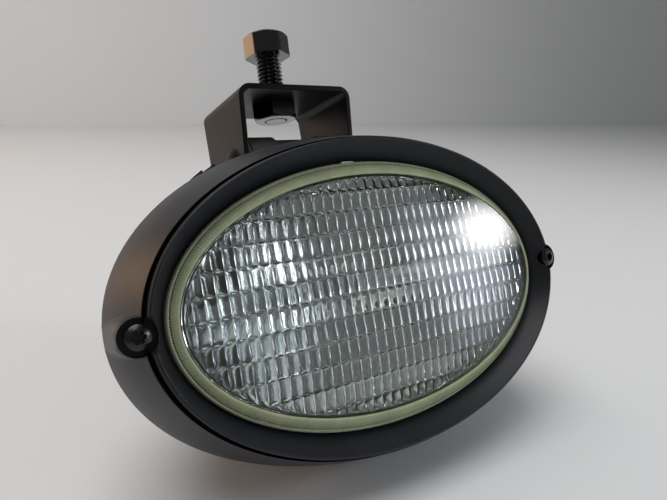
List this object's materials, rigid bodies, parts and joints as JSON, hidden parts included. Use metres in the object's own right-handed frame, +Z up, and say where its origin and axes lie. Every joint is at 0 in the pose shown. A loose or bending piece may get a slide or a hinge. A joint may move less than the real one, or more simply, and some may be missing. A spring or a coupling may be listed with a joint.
{
  "type": "tractor work light",
  "caption": "Oval halogen work light with a fluted glass lens in a flared black bezel, on a tilting U bracket with a mounting bolt.",
  "frame": {"origin": "on the table, under the middle of the bounding box", "axes": "+Z up, the lamp's face looks along -Y and leans back, +X is the lamp's width, to the right seen from its front"},
  "size_m": [0.154, 0.1212, 0.1338],
  "materials": {
    "bezel_plastic": "satin, fine moulded grain",
    "housing_plastic": "matt, moulded grain",
    "lens_glass": "clear pressed glass, fluted inside",
    "olive_rubber": "satin silicone",
    "black_rubber": "matt",
    "mirror_coat": "bright vacuum-coated",
    "black_steel": "black oxide",
    "bolt_steel": "glossy black zinc",
    "bracket_paint": "satin black powder coat",
    "fibre": "matt",
    "brass": "plain",
    "quartz": "clear quartz",
    "tungsten": "plain",
    "lead_red": "satin sleeve",
    "lead_black": "satin sleeve",
    "zinc_steel": "zinc plated",
    "socket_plastic": "satin"
  },
  "bodies": {
    "lamp_head": {"front_bezel": "bezel_plastic", "lens": "lens_glass", "lens_gasket": "olive_rubber", "reflector": "mirror_coat", "housing_seal": "black_rubber", "rear_housing": "housing_plastic", "bezel_screws": "black_steel", "screw_inserts": "brass", "bulb_seat": "zinc_steel", "seat_rivets": "zinc_steel", "bulb_glass": "quartz", "bulb_filament": "tungsten", "bulb_base": "zinc_steel", "bulb_lead": "lead_red", "earth_lead": "lead_black", "lead_terminals": "brass", "power_socket": "socket_plastic", "socket_pins": "zinc_steel", "socket_seal": "black_rubber", "socket_screws": "zinc_steel", "breather_plug": "black_rubber", "pivot_bush": "zinc_steel"},
    "bracket": {"bracket": "bracket_paint", "weld_nut": "bolt_steel", "pivot_bolt": "bracket_paint", "pivot_washer": "zinc_steel", "pivot_nut": "zinc_steel", "friction_washers": "fibre"},
    "mounting_bolt": {"mounting_bolt": "bolt_steel"},
    "bulb_clip": {"bulb_clip": "zinc_steel"}
  },
  "joints": [
    {"name": "bracket_tilt", "type": "hinge", "parent": "lamp_head", "child": "bracket", "pos_m": [0, 0.02458, 0.08445], "axis": [1, 0, 0], "range_deg": [-55, 45]},
    {"name": "bolt_turn", "type": "hinge", "parent": "bracket", "child": "mounting_bolt", "pos_m": [0, 0.04102, 0.10754], "axis": [0, 0.3158, 0.9488], "continuous": true},
    {"name": "clip_swing", "type": "hinge", "parent": "lamp_head", "child": "bulb_clip", "pos_m": [0, 0.0172, 0.04968], "axis": [1, 0, 0], "range_deg": [0, 26]}
  ]
}
